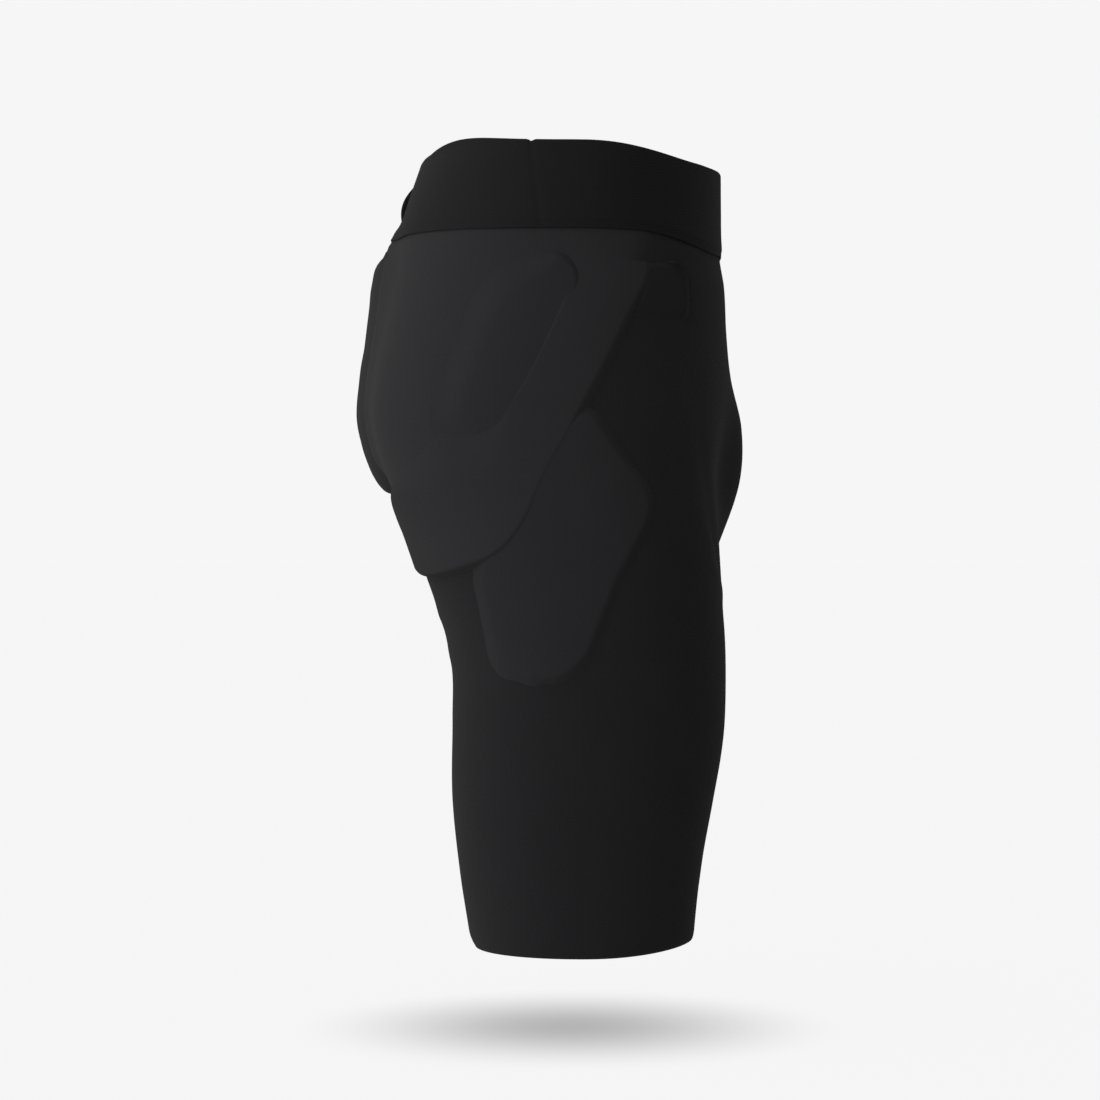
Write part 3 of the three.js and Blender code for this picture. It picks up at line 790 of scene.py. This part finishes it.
# Materials
def linear(hexColour):  # sRGB to linear: v / 12.92 when dark, else ((v + 0.055) / 1.055)^2.4
    values = [int(hexColour[step:step + 2], 16) / 255 for step in (1, 3, 5)]
    return [v / 12.92 if v <= 0.04045 else ((v + 0.055) / 1.055) ** 2.4 for v in values] + [1]


# One node with its settings. An input is a value or a socket, named by its label or by _ and its number.
def addNode(tree, kind, settings=None, **inputs):
    node = tree.nodes.new(kind)
    for name, value in (settings or {}).items():
        setattr(node, name, value)
    for name, value in inputs.items():
        socket = node.inputs[int(name[1:])] if name[1:].isdigit() else node.inputs[name.replace("_", " ")]
        if isinstance(value, bpy.types.NodeSocket):
            tree.links.new(value, socket)
        else:
            socket.default_value = value
    return node


def newMaterial(name):  # a material and its empty tree
    material = bpy.data.materials.new(name)
    material.use_nodes = True
    material.node_tree.nodes.clear()
    return material, material.node_tree


def sineAlong(tree, axis, wavelength):  # sin(2 pi place / wavelength)
    turns = addNode(tree, "ShaderNodeMath", {"operation": "MULTIPLY"}, _0=axis, _1=2 * np.pi / wavelength)
    return addNode(tree, "ShaderNodeMath", {"operation": "SINE"}, _0=turns.outputs[0]).outputs[0]


# Warp-knitted polyamide and elastane jersey: matt black, its filaments catch a little light at a low angle.
# Its wales are 0.5 mm apart; they are drawn 1.2 mm apart so that they still show.
knit = {
    "wale": 1.2 * mm,
    "course": 1.0 * mm,
    "courseHeight": 0.5,  # against the wales
    "fuzz": 900.0,  # to the metre, grains of about 1 mm
    "fuzzHeight": 1.6,
    "cloud": 16.0,  # to the metre, patches of about 60 mm
    "depth": 0.2 * mm,
    "rough": (0.8, 0.98),
}


def jerseyMaterial(name, finish):
    material, tree = newMaterial(name)
    uv = addNode(tree, "ShaderNodeUVMap", {"uv_map": "cloth"}).outputs[0]
    place = addNode(tree, "ShaderNodeTexCoord").outputs["Object"]
    axes = addNode(tree, "ShaderNodeSeparateXYZ", _0=uv)
    loops = addNode(tree, "ShaderNodeMath", {"operation": "MULTIPLY_ADD"},
                    _0=sineAlong(tree, axes.outputs[1], knit["course"]), _1=knit["courseHeight"],
                    _2=sineAlong(tree, axes.outputs[0], knit["wale"]))
    fuzz = addNode(tree, "ShaderNodeTexNoise", _0=place, Scale=knit["fuzz"], Detail=3.0, Roughness=0.6)
    height = addNode(tree, "ShaderNodeMath", {"operation": "MULTIPLY_ADD"}, _0=fuzz.outputs[0],
                     _1=knit["fuzzHeight"], _2=loops.outputs[0])
    cloudy = addNode(tree, "ShaderNodeTexNoise", _0=place, Scale=knit["cloud"], Detail=4.0, Roughness=0.55)
    tone = addNode(tree, "ShaderNodeMix", {"data_type": "RGBA"}, Factor=cloudy.outputs[0],
                   _6=linear(finish["colour"]), _7=linear(finish["worn"])).outputs[2]
    if "panel" in finish:  # the rear panel is painted paler: partly the paler cloth of the pad covers, partly painted light from behind
        share = addNode(tree, "ShaderNodeAttribute", {"attribute_name": "panel"}).outputs["Fac"]
        tone = addNode(tree, "ShaderNodeMix", {"data_type": "RGBA"}, Factor=share, _6=tone,
                       _7=linear(finish["panel"])).outputs[2]
    smooth, coarse = knit["rough"]
    rough = addNode(tree, "ShaderNodeMapRange", Value=fuzz.outputs[0], To_Min=smooth, To_Max=coarse)
    relief = addNode(tree, "ShaderNodeBump", Strength=finish["bump"], Distance=knit["depth"],
                     Height=height.outputs[0])
    shader = addNode(tree, "ShaderNodeBsdfPrincipled", Base_Color=tone, Roughness=rough.outputs[0],
                     Normal=relief.outputs[0], Sheen_Weight=finish["sheen"], Sheen_Roughness=0.5,
                     Specular_IOR_Level=finish["specular"], IOR=1.5)
    addNode(tree, "ShaderNodeOutputMaterial", Surface=shader.outputs[0])
    return material


# Woven elastic, polyester over rubber cores: level ribs 1.8 mm apart, crossed by fine threads that are
# drawn 0.9 mm apart, about twice as coarse as real ones. The tape is woven in the same way.
weave = {
    "threadHeight": 0.35,  # against the ribs
    "fuzz": 1100.0,  # to the metre, grains of about 1 mm
    "fuzzHeight": 0.8,
    "cloud": 20.0,  # to the metre, patches of about 50 mm
    "depth": 0.25 * mm,
    "rough": 0.82,
}


def elasticMaterial(name, finish):
    material, tree = newMaterial(name)
    uv = addNode(tree, "ShaderNodeUVMap", {"uv_map": "cloth"}).outputs[0]
    place = addNode(tree, "ShaderNodeTexCoord").outputs["Object"]
    axes = addNode(tree, "ShaderNodeSeparateXYZ", _0=uv)
    threads = addNode(tree, "ShaderNodeMath", {"operation": "MULTIPLY_ADD"},
                      _0=sineAlong(tree, axes.outputs[0], finish["thread"]), _1=weave["threadHeight"],
                      _2=sineAlong(tree, axes.outputs[1], finish["rib"]))
    fuzz = addNode(tree, "ShaderNodeTexNoise", _0=place, Scale=weave["fuzz"], Detail=2.0)
    height = addNode(tree, "ShaderNodeMath", {"operation": "MULTIPLY_ADD"}, _0=fuzz.outputs[0],
                     _1=weave["fuzzHeight"], _2=threads.outputs[0])
    cloudy = addNode(tree, "ShaderNodeTexNoise", _0=place, Scale=weave["cloud"], Detail=3.0)
    tone = addNode(tree, "ShaderNodeMix", {"data_type": "RGBA"}, Factor=cloudy.outputs[0],
                   _6=linear(finish["colour"]), _7=linear(finish["worn"]))
    relief = addNode(tree, "ShaderNodeBump", Strength=finish["bump"], Distance=weave["depth"],
                     Height=height.outputs[0])
    shader = addNode(tree, "ShaderNodeBsdfPrincipled", Base_Color=tone.outputs[2], Roughness=weave["rough"],
                     Normal=relief.outputs[0], Sheen_Weight=finish["sheen"], Sheen_Roughness=0.45,
                     Specular_IOR_Level=finish["specular"], IOR=1.5)
    addNode(tree, "ShaderNodeOutputMaterial", Surface=shader.outputs[0])
    return material


jerseyFinish = {
    "colour": "#19191b",
    "worn": "#1d1d1f",
    # rear panel: partly a paler cloth, partly painted light from behind
    "panel": "#262628",
    "bump": 0.2,
    "sheen": 0.02,
    "specular": 0.2,
}
# Pad covers are paler than the body's jersey: partly a paler cover knit, partly painted light from behind
# and above, which falls more on the hips than on the legs.
coverFinish = {
    "colour": "#252527",
    "worn": "#28282a",
    "bump": 0.16,
    "sheen": 0.005,
    "specular": 0.2,
}
# the thigh pad's cover is painted darker: painted shade, lower down and further from the light
thighShadedFinish = dict(coverFinish, colour="#222224", worn="#252527")
rearFinish = dict(coverFinish, colour="#242426", worn="#272729")
tailFinish = dict(rearFinish, sheen=0.011)
elasticFinish = {
    "colour": "#131315",
    "worn": "#161618",
    "rib": 1.8 * mm,
    "thread": 0.9 * mm,
    "bump": 0.25,
    "sheen": 0.02,
    "specular": 0.18,
}
# Black tape, made darker than the band's elastic: painted shade for the inside of the loop, away from the
# light.
shadedTapeFinish = {
    "colour": "#0f0f11",
    "worn": "#131315",
    "rib": 1.2 * mm,
    "thread": 1.2 * mm,
    "bump": 0.3,
    "sheen": 0.0,
    "specular": 0.15,
}
clothPiece.data.materials.append(jerseyMaterial("warp_knit_jersey", jerseyFinish))
bandPiece.data.materials.append(elasticMaterial("woven_elastic", elasticFinish))
loopPiece.data.materials.append(elasticMaterial("polyester_tape", shadedTapeFinish))
covers = {
    "hip": jerseyMaterial("pad_cover_jersey", coverFinish),
    "thigh": jerseyMaterial("thigh_cover_jersey", thighShadedFinish),
    "tailbone": jerseyMaterial("tail_cover_jersey", tailFinish),
    "upper": jerseyMaterial("rear_cover_jersey", rearFinish),
    "front": clothPiece.data.materials[0],
}
for piece in padPieces:
    piece.data.materials.append(covers[piece.name.split("_")[0]])
print("materials made")


# A pale light table and a soft studio: a big light behind the wearer, a weak one overhead, dark flats in
# front. The photograph stands on a blank ground with one soft round shadow drawn on it; so does the table.
studio = {
    "floorDrop": 0.065,  # the hem hangs this far above the floor
    "floorSize": 60.0,  # half its width
    "floorColour": "#303030",
    "floorGlow": 0.9,
    "shadowMiddle": (-0.008, -0.013),
    "shadowReach": (0.16, 0.185),
    "shadowDepth": 0.5,  # the share of the glow that it takes
    "backdrop": "#f6f6f6",
    "ambient": 0.235,
    "keyFrom": (-0.5, 0.8, 0.0),
    "keyWidth": 0.0,  # cosine at the edge of the light behind
    "keyStrength": 1.05,
    "topFrom": (-0.1, 0.1, 1),
    "topStrength": 0.35,
    "topWidth": 0.5,  # cosine at the edge of the light overhead
}


def makeTable():  # a glowing square; the glow dims by a smooth step of the way into a round painted shadow
    size = studio["floorSize"]
    level = hemLevel - studio["floorDrop"]
    corners = [[x * size, y * size, level] for x, y in ((-1, -1), (1, -1), (1, 1), (-1, 1))]
    mesh = bpy.data.meshes.new("floor")
    mesh.from_pydata(corners, [], [[0, 1, 2, 3]])
    floor = bpy.data.objects.new("floor", mesh)
    scene.collection.objects.link(floor)
    material, tree = newMaterial("opal_acrylic_table")
    matt = addNode(tree, "ShaderNodeBsdfDiffuse", Color=linear(studio["floorColour"]))
    place = addNode(tree, "ShaderNodeTexCoord").outputs["Object"]
    spot = addNode(tree, "ShaderNodeMapping", {"vector_type": "TEXTURE"}, Vector=place,
                   Location=(*studio["shadowMiddle"], level), Scale=(*studio["shadowReach"], 1))
    ball = addNode(tree, "ShaderNodeTexGradient", {"gradient_type": "SPHERICAL"}, _0=spot.outputs[0])
    bright = studio["floorGlow"]
    light = addNode(tree, "ShaderNodeMapRange", {"interpolation_type": "SMOOTHSTEP"},
                    Value=ball.outputs["Fac"], To_Min=bright, To_Max=bright * (1 - studio["shadowDepth"]))
    glow = addNode(tree, "ShaderNodeEmission", Strength=light.outputs[0])
    shader = addNode(tree, "ShaderNodeAddShader", _0=matt.outputs[0], _1=glow.outputs[0])
    addNode(tree, "ShaderNodeOutputMaterial", Surface=shader.outputs[0])
    mesh.materials.append(material)
    floor.visible_diffuse = False  # its light stays off the cloth
    floor.visible_glossy = False


def lobe(tree, direction, towards, lowest):  # smooth step of the cosine between the direction and a light's
    unit = np.array(towards) / np.linalg.norm(towards)
    cosine = addNode(tree, "ShaderNodeVectorMath", {"operation": "DOT_PRODUCT"}, _0=direction,
                     _1=unit.tolist())
    return addNode(tree, "ShaderNodeMapRange", {"interpolation_type": "SMOOTHSTEP"},
                   Value=cosine.outputs["Value"], From_Min=lowest).outputs[0]


def makeLight():  # ambient + strength * lobe of each light; the camera sees the plain backdrop
    world = bpy.data.worlds.new("studio")
    scene.world = world
    world.use_nodes = True
    tree = world.node_tree
    tree.nodes.clear()
    direction = addNode(tree, "ShaderNodeTexCoord").outputs["Generated"]
    key = addNode(tree, "ShaderNodeMath", {"operation": "MULTIPLY_ADD"},
                  _0=lobe(tree, direction, studio["keyFrom"], studio["keyWidth"]),
                  _1=studio["keyStrength"], _2=studio["ambient"])
    light = addNode(tree, "ShaderNodeMath", {"operation": "MULTIPLY_ADD"},
                    _0=lobe(tree, direction, studio["topFrom"], studio["topWidth"]),
                    _1=studio["topStrength"], _2=key.outputs[0])
    seen = addNode(tree, "ShaderNodeLightPath").outputs["Is Camera Ray"]
    strength = addNode(tree, "ShaderNodeMix", Factor=seen, _2=light.outputs[0], _3=1.0)
    colour = addNode(tree, "ShaderNodeMix", {"data_type": "RGBA"}, Factor=seen, _6=(1, 1, 1, 1),
                     _7=linear(studio["backdrop"]))
    shader = addNode(tree, "ShaderNodeBackground", Color=colour.outputs[2], Strength=strength.outputs[0])
    addNode(tree, "ShaderNodeOutputWorld", Surface=shader.outputs[0])
    scene.view_settings.view_transform = "Standard"


makeTable()
makeLight()
print("studio made")
